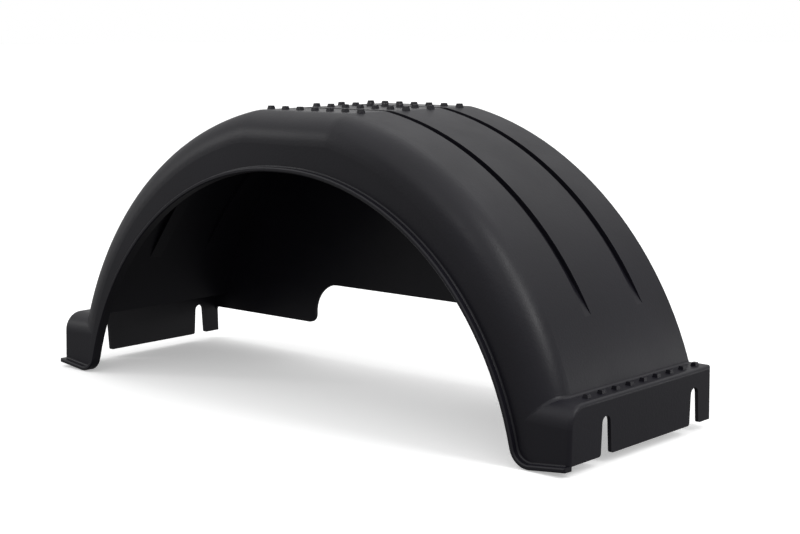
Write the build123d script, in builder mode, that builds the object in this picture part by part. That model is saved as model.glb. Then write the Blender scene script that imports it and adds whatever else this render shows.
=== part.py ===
"""Trailer mudguard for a single 13 to 14 inch wheel, moulded in one piece.

X runs along the trailer, Y across it with the wheel opening towards -Y and the closed
inner wall towards +Y, Z up. The origin is on the ground under the middle of the guard.
All sizes are in millimetres.
"""
import os
from math import atan, cos, radians, sin, sqrt, tan

from build123d import *

# overall sizes
length = 760.0
width = 256.0
platform_height = 321.0
wall = 4.0

# tread over the wheel: the height of its full arc above the platform, and its rounded edges
tread_rise = 6.0
kink_radius = 48.0
outer_corner = 35.0
corner_margin = 2.0
back_edge = 3.0

# outward lip round the wheel opening
lip_proud = 7.5
lip_thick = 4.6
lip_edge = 1.2
lip_root = 2.0
opening_drop = 62.5
opening_flat = 6.0
foot_setback = 43.5
foot_radius = 22.0
foot_rise = 0.11

# draft of the two long walls
skirt_draft = 1.7
back_draft = 1.0

# end plates with the ledge above them
ledge_height = 65.0
ledge_reach = 24.6
shoulder = 22.0
plate_bottom = 9.0
plate_corner = 4.0
crease_radius = 4.0
end_setback = 0.05

# open slots in the end plates
slot_setback = 59.5
slot_back_setback = 33.0
slot_mouth = 17.5
slot_top_width = 13.5
slot_height = 38.0
slot_mouth_radius = 3.0

# inner wall and its axle notch
back_bottom = 41.5
notch_half = 187.0
notch_top = 93.0
notch_radius_share = 0.75
notch_foot_share = 0.22
tab_radius = 5.0

# grooves pressed into the tread, seen as ridges from below
groove_setback = 101.5
groove_back_setback = 57.0
groove_width = 10.0
groove_depth = 5.0
groove_end_angle = 37.5

# grip studs on the platform and on both ledges
stud_base = 7.0
stud_taper = 12.0
stud_height = 3.5
stud_root = 1.5
platform_stud_setback = 58.5
platform_stud_shares = (0.31, 0.76)
platform_stud_back_setback = 29.0
platform_stud_columns = 7
platform_stud_pitch = 22.5
ledge_studs = 9
ledge_stud_setback = 44.5
ledge_stud_back_setback = 13.6

# positions that follow from the sizes above
skirt_y = lip_proud - width / 2
back_y = width / 2
end_x = length / 2
skirt_slope = tan(radians(skirt_draft))
back_slope = tan(radians(back_draft))
groove_rows = (skirt_y + groove_setback, back_y - groove_back_setback)
slot_rows = (skirt_y + slot_setback, back_y - slot_back_setback)

# the tread's arc runs through its crown and through the inner end of each ledge
crease_x = end_x - ledge_reach
arc_height = platform_height + tread_rise - ledge_height
tread_radius = (arc_height**2 + crease_x**2) / (2 * arc_height)
tread_centre = platform_height + tread_rise - tread_radius

# the opening's arc runs through its crown and meets the round heel of each foot
opening_crown = platform_height - opening_drop
foot_x = end_x - foot_setback
heel_height = opening_crown - foot_radius
opening_radius = (heel_height**2 + (foot_x - opening_flat) ** 2 - foot_radius**2) / (2 * opening_crown)
opening_centre = opening_crown - opening_radius

# cutting depth below the ground, clear room round the outside, and selection tolerance
below = -40.0
clear = 30.0
close_by = 0.01


def skirt_at(z, inset):
    """Y of the skirt at a height, moved inwards by inset."""
    return skirt_y + skirt_slope * z + inset


def back_at(z, inset):
    """Y of the inner wall at a height, moved inwards by inset."""
    return back_y - back_slope * z - inset


def arc_x(z, radius, centre):
    """Half length at a height of a circle about a point on the middle line."""
    return sqrt(radius**2 - (z - centre) ** 2)


def on_wall(edge, wall_at, inset):
    """True for an edge that lies wholly in one of the two long walls."""
    spots = [edge @ 0, edge @ 0.5, edge @ 1]
    above = max(spot.Z for spot in spots) > 0
    return above and all(abs(spot.Y - wall_at(spot.Z, inset)) < close_by for spot in spots)


def end_side_at(z, inset):
    """Y of the end blocks on the skirt side, a hair behind the skirt."""
    return skirt_at(z, inset + end_setback)


def on_plate(edge, inset):
    """True for an edge that lies wholly in the face of an end plate."""
    spots = [edge @ 0, edge @ 0.5, edge @ 1]
    above = max(spot.Z for spot in spots) > 0
    return above and all(abs(abs(spot.X) - end_x + inset) < close_by for spot in spots)


def between_walls(near_at, inset, top):
    """End view of the room between two drafted walls, up to a height."""
    with BuildLine() as outline:
        Polyline(
            (near_at(below, inset), below),
            (near_at(top, inset), top),
            (back_at(top, inset), top),
            (back_at(below, inset), below),
            close=True,
        )
    return outline.line


def arch_prism(inset):
    """Level prism over the side view of the tread, moved inwards by inset."""
    radius = tread_radius - inset
    top = platform_height - inset
    kink = arc_x(top, radius, tread_centre)
    foot = arc_x(below, radius, tread_centre)
    middle = (top + below) / 2
    with BuildPart() as prism:
        with BuildSketch(Plane.XZ) as side:
            with BuildLine():
                Line((0, top), (kink, top))
                ThreePointArc((kink, top), (arc_x(middle, radius, tread_centre), middle), (foot, below))
                Line((foot, below), (0, below))
                mirror(about=Plane.YZ)
            make_face()
            kinks = side.vertices().filter_by_position(Axis.Y, top - close_by, top + close_by)
            fillet(kinks, kink_radius - inset)
        extrude(amount=width, both=True)
    return prism.part


def arch_block(inset, square_corner=False):
    """Solid filling the tread and both long walls, moved inwards by inset.

    With a square corner the tread turns square to the skirt just before the corner, which
    makes the corner a plain torus.
    """
    prism = arch_prism(inset)
    with BuildPart() as block:
        if square_corner:
            turn = (0, skirt_at(platform_height, outer_corner + corner_margin), platform_height)
            half_draft = radians(skirt_draft / 2)
            seam = Plane(origin=turn, x_dir=(1, 0, 0), z_dir=(0, -cos(half_draft), sin(half_draft)))
            add(prism.split(seam, keep=Keep.BOTTOM))
            add(prism.rotate(Axis(turn, (1, 0, 0)), -skirt_draft).split(seam, keep=Keep.TOP))
        else:
            add(prism)
        with BuildSketch(Plane.YZ):
            add(between_walls(skirt_at, inset, platform_height + clear))
            make_face()
        extrude(amount=length, both=True, mode=Mode.INTERSECT)
        fillet(block.edges().filter_by(lambda edge: on_wall(edge, skirt_at, inset)), outer_corner - inset)
        if back_edge > inset:
            chamfer(block.edges().filter_by(lambda edge: on_wall(edge, back_at, inset)), back_edge - inset)
    return block.part


def end_block(inset):
    """Solid filling the room between the end plates up to the ledges, moved inwards by inset."""
    top = ledge_height - inset
    with BuildPart() as block:
        with BuildSketch(Plane.YZ) as profile:
            add(between_walls(end_side_at, inset, top))
            make_face()
            corners = profile.vertices().filter_by_position(Axis.Y, top - close_by, top + close_by)
            fillet(corners.sort_by(Axis.X)[0], shoulder - inset)
            if back_edge > inset:
                chamfer(corners.sort_by(Axis.X)[-1], back_edge - inset)
        extrude(amount=end_x - inset, both=True)
        if plate_corner > inset:
            fillet(block.edges().filter_by(lambda edge: on_plate(edge, inset)), plate_corner - inset)
    return block.part


def groove_block(row, floor_width, inset):
    """Solid outside the floor of a groove, which leaves the tread in a straight line at both ends."""
    radius = tread_radius - groove_depth - inset
    top = platform_height - groove_depth - inset
    kink = arc_x(top, radius, tread_centre)
    angle = radians(groove_end_angle)
    end = (radius * cos(angle), tread_centre + radius * sin(angle))
    middle = (end[1] + top) / 2
    outside = tread_radius + clear
    run_out = end[1] - (outside - end[0]) / tan(angle)
    with BuildPart() as block:
        with BuildSketch(Plane.XZ.offset(-row)):
            with BuildLine():
                Line((0, top), (kink, top))
                ThreePointArc((kink, top), (arc_x(middle, radius, tread_centre), middle), end)
                Polyline(end, (outside, run_out), (outside, outside), (0, outside))
                mirror(about=Plane.YZ)
            make_face()
        extrude(amount=floor_width / 2, both=True)
    return block.part


def opening_view():
    """Outline of all that is cut from the skirt, seen square to it: the opening and the ground line."""
    share = opening_radius / (opening_radius + foot_radius)
    heel_x = opening_flat + share * (foot_x - opening_flat)
    heel_z = opening_centre + share * (foot_radius - opening_centre)
    slope = atan(foot_rise)
    sole_x = foot_x + foot_radius * sin(slope)
    sole_z = foot_radius - foot_radius * cos(slope)
    middle = (opening_crown + heel_z) / 2
    middle_x = opening_flat + arc_x(middle, opening_radius, opening_centre)
    outside = end_x + clear
    with BuildSketch() as view:
        with BuildLine():
            Line((0, opening_crown), (opening_flat, opening_crown))
            ThreePointArc((opening_flat, opening_crown), (middle_x, middle), (heel_x, heel_z))
            ThreePointArc((heel_x, heel_z), (foot_x, 0), (sole_x, sole_z))
            Line((sole_x, sole_z), (outside, sole_z + foot_rise * (outside - sole_x)))
            Line((outside, sole_z + foot_rise * (outside - sole_x)), (outside, 2 * below))
            Line((outside, 2 * below), (0, 2 * below))
            mirror(about=Plane.YZ)
        make_face()
    return view.sketch


def rim_band(thickness, span, proud):
    """Band along the edge of the wheel opening, from the inner face of the skirt to proud of it."""
    opening = opening_view()
    with BuildPart() as band:
        with BuildSketch(skirt_plane):
            add(offset(opening, thickness, kind=Kind.ARC))
            add(opening, mode=Mode.SUBTRACT)
            with Locations((0, below)):
                Rectangle(span, 2 * platform_height, align=(Align.CENTER, Align.MIN), mode=Mode.INTERSECT)
        extrude(amount=(wall + proud) * cos(radians(skirt_draft)))
    return band.part


def stud_grid(height, x, y, pitch_x, pitch_y, columns, rows):
    """Tapered square studs standing on a level surface, about a middle point."""
    with BuildPart() as studs:
        with BuildSketch(Plane.XY.offset(height - stud_root)):
            with Locations((x, y)):
                with GridLocations(pitch_x, pitch_y, columns, rows):
                    Rectangle(stud_base, stud_base)
        extrude(amount=stud_root + stud_height, taper=stud_taper)
    return studs.part


# inner face of the skirt, on which the opening and its lip are drawn
skirt_plane = Plane(
    origin=(0, skirt_at(0, wall), 0),
    x_dir=(1, 0, 0),
    z_dir=(0, -cos(radians(skirt_draft)), sin(radians(skirt_draft))),
)

with BuildPart() as hollow:
    # room under the guard, where the grooves stand as ridges
    add(arch_block(wall, square_corner=True))
    add(end_block(wall))
    for row in groove_rows:
        add(groove_block(row, groove_width + 2 * wall, wall), mode=Mode.SUBTRACT)

with BuildPart() as lip:
    # lip round the wheel opening and along the feet, filleted into the skirt
    add(rim_band(lip_thick + 2 * lip_root, length - 2 * plate_corner, -end_setback))
    add(rim_band(lip_thick, length, lip_proud))
    fillet(lip.edges(Select.NEW).filter_by(lambda edge: on_wall(edge, end_side_at, 0)), lip_root)
    chamfer(lip.edges().filter_by(lambda edge: on_wall(edge, skirt_at, -lip_proud)), lip_edge)

with BuildPart() as mudguard:
    # outer skin, with a filleted crease between tread and ledge
    add(arch_block(0))
    add(end_block(0))
    creases = [
        edge
        for edge in mudguard.edges().filter_by(Axis.Y)
        if abs(edge.center().Z - ledge_height) < close_by and abs(abs(edge.center().X) - crease_x) < close_by
    ]
    fillet(creases, crease_radius)
    for row in groove_rows:
        add(groove_block(row, groove_width, 0), mode=Mode.SUBTRACT)
    add(hollow.part, mode=Mode.SUBTRACT)

    # wheel opening and the underside of the feet
    with BuildSketch(skirt_plane):
        add(opening_view())
    extrude(amount=clear, both=True, mode=Mode.SUBTRACT)

    # lower edge of the end plates, with slots open at the bottom
    with BuildSketch(Plane.YZ) as lower:
        with BuildLine():
            Polyline(
                (skirt_at(2 * below, wall), 2 * below),
                (skirt_at(plate_bottom, wall), plate_bottom),
                (width, plate_bottom),
                (width, 2 * below),
                close=True,
            )
        make_face()
        slot_top = plate_bottom + slot_height
        slot_shoulder = slot_top - slot_top_width / 2
        for slot_y in slot_rows:
            near, far = slot_y - slot_top_width / 2, slot_y + slot_top_width / 2
            with BuildLine():
                Polyline(
                    (near, slot_shoulder),
                    (slot_y - slot_mouth / 2, plate_bottom),
                    (slot_y - slot_mouth / 2, below),
                    (slot_y + slot_mouth / 2, below),
                    (slot_y + slot_mouth / 2, plate_bottom),
                    (far, slot_shoulder),
                )
                ThreePointArc((far, slot_shoulder), (slot_y, slot_top), (near, slot_shoulder))
            make_face()
        mouths = lower.vertices().filter_by_position(Axis.Y, plate_bottom - close_by, plate_bottom + close_by)
        fillet(mouths.sort_by(Axis.X)[1:-1], slot_mouth_radius)
    extrude(amount=length, both=True, mode=Mode.SUBTRACT)

    # lower edge of the inner wall, with the axle notch and a tab left at each end
    notch_rise = notch_top - back_bottom
    with BuildSketch(Plane.XZ.offset(-width / 2 - clear)) as back:
        with Locations((0, back_bottom)):
            Rectangle(length - 2 * wall, back_bottom - below, align=(Align.CENTER, Align.MAX))
        with Locations((0, notch_top)):
            Rectangle(2 * notch_half, notch_top - below, align=(Align.CENTER, Align.MAX))
        feet = back.vertices().filter_by_position(Axis.Y, back_bottom - close_by, back_bottom + close_by)
        fillet(feet.sort_by(Axis.X)[1:-1], notch_foot_share * notch_rise)
        tabs = back.vertices().filter_by_position(Axis.Y, back_bottom - close_by, back_bottom + close_by)
        fillet([tabs.sort_by(Axis.X)[0], tabs.sort_by(Axis.X)[-1]], tab_radius)
        crown = back.vertices().filter_by_position(Axis.Y, notch_top - close_by, notch_top + close_by)
        fillet(crown, notch_radius_share * notch_rise)
    extrude(amount=2 * clear, mode=Mode.SUBTRACT)

    add(lip.part)

    # rows of studs across the platform and along both ledges
    groove_gap = groove_rows[1] - groove_rows[0]
    stud_rows = [skirt_y + platform_stud_setback, back_y - platform_stud_back_setback]
    stud_rows += [groove_rows[0] + share * groove_gap for share in platform_stud_shares]
    for row in stud_rows:
        add(stud_grid(platform_height, 0, row, platform_stud_pitch, stud_base, platform_stud_columns, 1))
    first_y, last_y = skirt_y + ledge_stud_setback, back_y - ledge_stud_back_setback
    ledge_y = (first_y + last_y) / 2
    ledge_stud_pitch = (last_y - first_y) / (ledge_studs - 1)
    ledge_x = end_x - ledge_reach / 2
    for x in (-ledge_x, ledge_x):
        add(stud_grid(ledge_height, x, ledge_y, stud_base, ledge_stud_pitch, 1, ledge_studs))

os.makedirs("parts", exist_ok=True)
mudguard.part.label = "mudguard"
export_step(mudguard.part, "parts/mudguard.step")
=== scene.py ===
from math import radians

import bpy
from mathutils import Euler, Matrix, Vector

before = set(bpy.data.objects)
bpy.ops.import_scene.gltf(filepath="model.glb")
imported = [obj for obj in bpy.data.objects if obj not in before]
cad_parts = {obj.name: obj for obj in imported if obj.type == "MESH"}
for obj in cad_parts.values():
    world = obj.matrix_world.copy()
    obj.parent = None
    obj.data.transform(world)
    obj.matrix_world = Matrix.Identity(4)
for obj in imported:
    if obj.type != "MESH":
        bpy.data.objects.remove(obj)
bpy.context.view_layer.update()
print("frame loaded")


# Camera: in front of the guard and to its right, a little above it (metres and degrees)
cameraSettings = {
    "place": (1.2048, -1.2743, 0.4054),
    "turn": 41.79,      # from looking along +Y, anticlockwise seen from above
    "drop": 8.47,       # below level
    "roll": -0.23,
    "lens": 71.46,      # millimetres, as the sensor
    "sensor": 36.0,
    "reach": 100.0,     # how far the camera sees
}


def addCamera():
    spec = cameraSettings
    levelPitch = 90.0    # a camera turned this far about X looks at the horizon
    data = bpy.data.cameras.new("photoCamera")
    data.sensor_width = spec["sensor"]
    data.lens = spec["lens"]
    data.clip_end = spec["reach"]
    camera = bpy.data.objects.new("photoCamera", data)
    bpy.context.scene.collection.objects.link(camera)
    pitch = radians(levelPitch - spec["drop"])
    aim = Euler((pitch, 0.0, radians(spec["turn"]))).to_matrix()
    aim = aim @ Matrix.Rotation(radians(spec["roll"]), 3, "Z")
    camera.matrix_world = Matrix.Translation(spec["place"]) @ aim.to_4x4()
    bpy.context.scene.camera = camera
    print("camera placed")


# Floor: one wide pale sheet, just under the guard's feet
floorSettings = {
    "half": 40.0,       # metres from the middle to an edge
    "gap": 0.0005,      # metres below the feet
    "colour": (0.92, 0.92, 0.92, 1),
    "roughness": 0.9,
    "specular": 0.1,
    "glow": 0.4,        # keeps the sheet white to its far edge
}


def addFloor():
    spec = floorSettings
    bpy.ops.object.select_all(action="DESELECT")
    bpy.ops.mesh.primitive_plane_add(size=2 * spec["half"], location=(0, 0, -spec["gap"]))
    floor = bpy.context.object
    floor.name = "studioFloor"
    material = bpy.data.materials.new("paleFloor")
    material.use_nodes = True
    shader = material.node_tree.nodes["Principled BSDF"]
    shader.inputs["Base Color"].default_value = spec["colour"]
    shader.inputs["Roughness"].default_value = spec["roughness"]
    shader.inputs["Specular IOR Level"].default_value = spec["specular"]
    shader.inputs["Emission Color"].default_value = spec["colour"]
    shader.inputs["Emission Strength"].default_value = spec["glow"]
    floor.data.materials.append(material)
    floor.visible_glossy = False     # the bright sheet doesn't show in the black plastic
    floor.visible_diffuse = False    # and doesn't light the inside of the guard
    print("floor laid")


# Lights: a wide diffuser overhead and softboxes round the guard (metres, degrees, watts)
diffuserSettings = {
    "turn": (-3.0, 0.0, 0.0),
    "spread": 110.0,    # how wide the diffuser looks from the guard
    "strength": 1.3,
}
softboxSettings = {
    "right": {
        "place": (1.9, 0.1, 1.7),
        "aim": (0.3, -0.1, 0.2),
        "size": (0.5, 1.6),
        "power": 14.0,
    },
    "crown": {
        "place": (-1.9, -1.3, 1.2),
        "aim": (0.0, 0.0, 0.25),
        "size": (0.25, 0.7),
        "power": 4.5,
    },
    "front": {
        "place": (0.4, -1.8, 1.9),
        "aim": (0.3, -0.1, 0.2),
        "size": (0.8, 0.25),
        "power": 1.5,
    },
    "left": {
        "place": (-2.6, -1.2, 0.5),
        "aim": (-0.3, -0.1, 0.1),
        "size": (0.9, 0.8),
        "power": 1.4,
    },
    "back": {
        "place": (1.75, 2.1, 0.28),
        "aim": (0.38, 0.0, 0.05),
        "size": (1.6, 0.5),
        "power": 3.2,
    },
    "low": {
        "place": (-2.4, 2.6, 0.6),
        "aim": (0.0, 0.0, 0.3),
        "size": (1.8, 0.9),
        "power": 3.0,
    },
}


def addLight(name, kind):
    data = bpy.data.lights.new(name, kind)
    lamp = bpy.data.objects.new(name, data)
    bpy.context.scene.collection.objects.link(lamp)
    return lamp, data


def addLights():
    lamp, data = addLight("overheadDiffuser", "SUN")
    data.angle = radians(diffuserSettings["spread"])
    data.energy = diffuserSettings["strength"]
    lamp.rotation_euler = [radians(angle) for angle in diffuserSettings["turn"]]
    for name, spec in softboxSettings.items():
        lamp, data = addLight(name + "Softbox", "AREA")
        data.shape = "RECTANGLE"
        data.size, data.size_y = spec["size"]
        data.energy = spec["power"]
        lamp.location = spec["place"]
        direction = Vector(spec["aim"]) - Vector(spec["place"])
        lamp.rotation_euler = direction.to_track_quat("-Z", "Y").to_euler()
        lamp.visible_camera = False
    print("lights placed")


def addRange(tree, source, span, low, high):
    spread = tree.nodes.new("ShaderNodeMapRange")    # turns the span into low to high
    spread.inputs["From Min"].default_value, spread.inputs["From Max"].default_value = span
    spread.inputs["To Min"].default_value = low
    spread.inputs["To Max"].default_value = high
    tree.links.new(source, spread.inputs["Value"])
    return spread.outputs["Result"]


# World: white behind the guard, and a dim fill for the guard itself
worldSettings = {
    "colour": (1, 1, 1, 1),
    "seen": 1.0,              # strength where the camera sees it
    "above": 0.48,            # strength of the fill from above
    "below": 0.08,            # and from below
    "blend": (-0.65, 0.1),    # sines of the angles above level between which they blend
}


def addWorld():
    spec = worldSettings
    world = bpy.data.worlds.new("studioWorld")
    world.use_nodes = True
    tree = world.node_tree
    background = tree.nodes["Background"]
    background.inputs["Color"].default_value = spec["colour"]
    place = tree.nodes.new("ShaderNodeTexCoord")
    axes = tree.nodes.new("ShaderNodeSeparateXYZ")
    tree.links.new(place.outputs["Generated"], axes.inputs["Vector"])
    fill = addRange(tree, axes.outputs["Z"], spec["blend"], spec["below"], spec["above"])
    path = tree.nodes.new("ShaderNodeLightPath")
    strength = tree.nodes.new("ShaderNodeMapRange")    # the fill, or white for the camera
    strength.inputs["To Max"].default_value = spec["seen"]
    tree.links.new(fill, strength.inputs["To Min"])
    tree.links.new(path.outputs["Is Camera Ray"], strength.inputs["Value"])
    tree.links.new(strength.outputs["Result"], background.inputs["Strength"])
    bpy.context.scene.world = world
    bpy.context.scene.view_settings.view_transform = "Standard"
    print("world made")


# Plastic: black polymer, satin, with a fine moulded grain; its slight violet cast is a
# painted tint that stands in for cool reflected light
plasticSettings = {
    # deep and pale both carry the painted violet tint of reflected light; the noise
    # between them is random tone
    "deep": (0.0058, 0.0053, 0.0088, 1),
    "pale": (0.0086, 0.0079, 0.0128, 1),
    "specular": 0.32,
    "contrast": (0.3, 0.7),     # the span of a noise that is stretched
    "tone": {"scale": 7.0, "detail": 9.0},
    "sheen": {"scale": 18.0, "detail": 4.0, "low": 0.35, "high": 0.43},    # roughness
    # faint waves of a moulded wall
    "sink": {"scale": 14.0, "detail": 1.0, "depth": 0.0012, "strength": 0.10},
    "grain": {"scale": 380.0, "detail": 3.0, "depth": 0.00016, "strength": 0.6},
}


def addNoise(tree, place, spec):
    noise = tree.nodes.new("ShaderNodeTexNoise")
    noise.inputs["Scale"].default_value = spec["scale"]
    noise.inputs["Detail"].default_value = spec["detail"]
    tree.links.new(place.outputs["Object"], noise.inputs["Vector"])
    return noise.outputs["Fac"]


def addBump(tree, height, spec, below=None):
    bump = tree.nodes.new("ShaderNodeBump")
    bump.inputs["Strength"].default_value = spec["strength"]
    bump.inputs["Distance"].default_value = spec["depth"]
    tree.links.new(height, bump.inputs["Height"])
    if below:
        tree.links.new(below, bump.inputs["Normal"])
    return bump.outputs["Normal"]


def makePlastic():
    spec = plasticSettings
    contrast = spec["contrast"]
    material = bpy.data.materials.new("mouldedPlastic")
    material.use_nodes = True
    tree = material.node_tree
    shader = tree.nodes["Principled BSDF"]
    shader.inputs["Specular IOR Level"].default_value = spec["specular"]
    place = tree.nodes.new("ShaderNodeTexCoord")

    tone = tree.nodes.new("ShaderNodeMix")
    tone.data_type = "RGBA"
    tone.inputs["A"].default_value = spec["deep"]
    tone.inputs["B"].default_value = spec["pale"]
    blend = addRange(tree, addNoise(tree, place, spec["tone"]), contrast, 0.0, 1.0)
    tree.links.new(blend, tone.inputs["Factor"])
    tree.links.new(tone.outputs["Result"], shader.inputs["Base Color"])

    sheen = spec["sheen"]
    gloss = addNoise(tree, place, sheen)
    roughness = addRange(tree, gloss, contrast, sheen["low"], sheen["high"])
    tree.links.new(roughness, shader.inputs["Roughness"])

    waves = addBump(tree, addNoise(tree, place, spec["sink"]), spec["sink"])
    grain = addBump(tree, addNoise(tree, place, spec["grain"]), spec["grain"], waves)
    tree.links.new(grain, shader.inputs["Normal"])
    return material


def dressGuard():
    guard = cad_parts["mudguard"]
    guard.data.materials.clear()
    guard.data.materials.append(makePlastic())
    print("plastic given to the guard")


addCamera()
addFloor()
addLights()
addWorld()
dressGuard()
